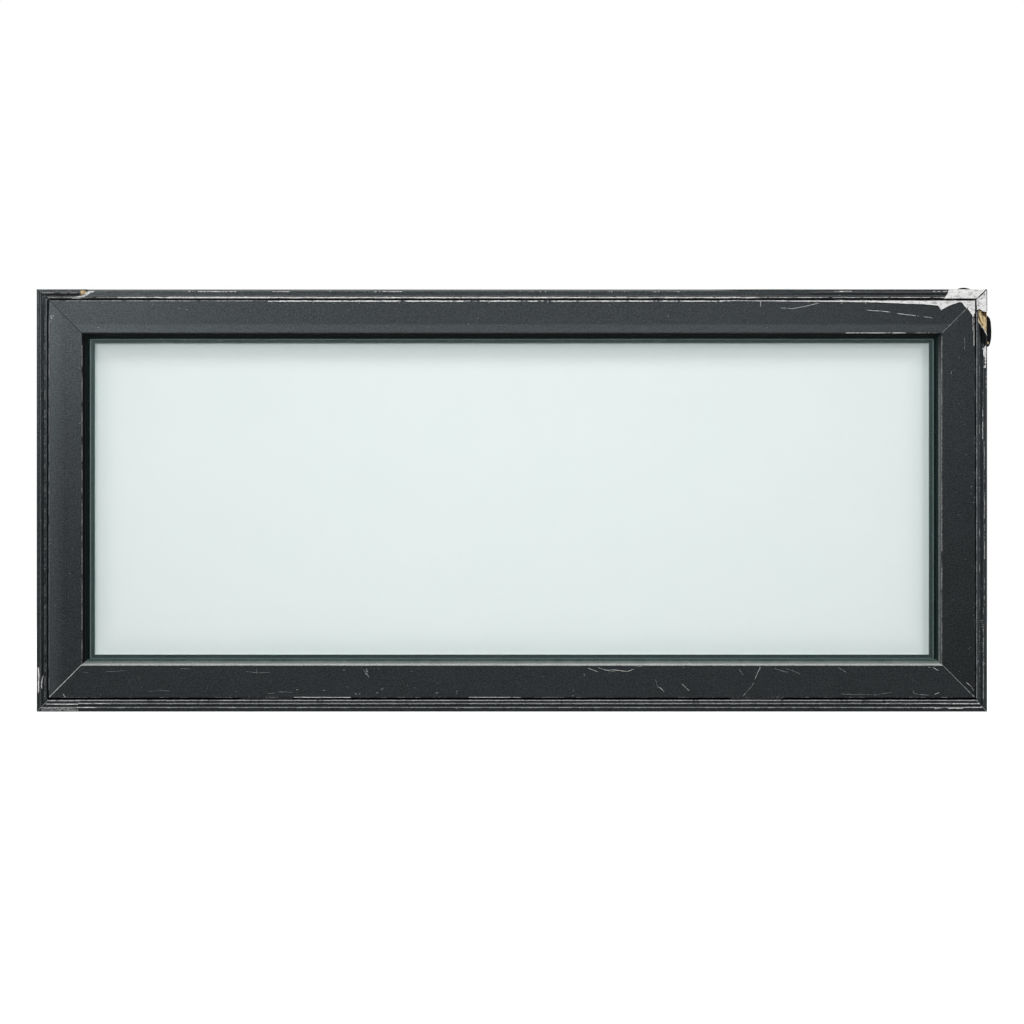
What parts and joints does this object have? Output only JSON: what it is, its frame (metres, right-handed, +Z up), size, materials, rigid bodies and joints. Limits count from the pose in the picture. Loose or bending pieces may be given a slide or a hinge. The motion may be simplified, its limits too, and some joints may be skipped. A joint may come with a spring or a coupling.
{
  "type": "fixed picture window",
  "caption": "Wide fixed picture window: mitred painted timber sash with an obscure double-glazed unit, set in a moulded timber frame, its black paint chipped at a corner.",
  "frame": {"origin": "middle of the sill's flat underside, halfway through the frame's depth", "axes": "+X to the right seen from the front, +Y from the front towards the back, +Z up"},
  "size_m": [1.8374, 0.116, 0.8128],
  "materials": {
    "frame_paint": "satin black paint, chipped to primer and bare wood",
    "sash_paint": "satin black paint, scratched and chipped",
    "gasket_rubber": "matte",
    "edge_sealant": "matte",
    "spacer_bar": "satin dark green-grey",
    "clear_glass": "polished",
    "obscure_glass": "satin obscure",
    "packer_plastic": "matte"
  },
  "bodies": {
    "root": {"frame_head": "frame_paint", "frame_sill": "frame_paint", "frame_left_jamb": "frame_paint", "frame_right_jamb": "frame_paint", "lifted_splinter": "frame_paint", "sash_top_rail": "sash_paint", "sash_bottom_rail": "sash_paint", "sash_left_stile": "sash_paint", "sash_right_stile": "sash_paint", "glazing_stop_top": "sash_paint", "front_gasket_top": "gasket_rubber", "rear_tape_top": "gasket_rubber", "perimeter_seal_top": "gasket_rubber", "edge_seal_top": "edge_sealant", "spacer_top": "spacer_bar", "glazing_stop_bottom": "sash_paint", "front_gasket_bottom": "gasket_rubber", "rear_tape_bottom": "gasket_rubber", "perimeter_seal_bottom": "gasket_rubber", "edge_seal_bottom": "edge_sealant", "spacer_bottom": "spacer_bar", "glazing_stop_left": "sash_paint", "front_gasket_left": "gasket_rubber", "rear_tape_left": "gasket_rubber", "perimeter_seal_left": "gasket_rubber", "edge_seal_left": "edge_sealant", "spacer_left": "spacer_bar", "glazing_stop_right": "sash_paint", "front_gasket_right": "gasket_rubber", "rear_tape_right": "gasket_rubber", "perimeter_seal_right": "gasket_rubber", "edge_seal_right": "edge_sealant", "spacer_right": "spacer_bar", "outer_pane": "clear_glass", "inner_pane": "obscure_glass", "sash_packers": "packer_plastic", "setting_blocks": "packer_plastic"}
  },
  "joints": []
}
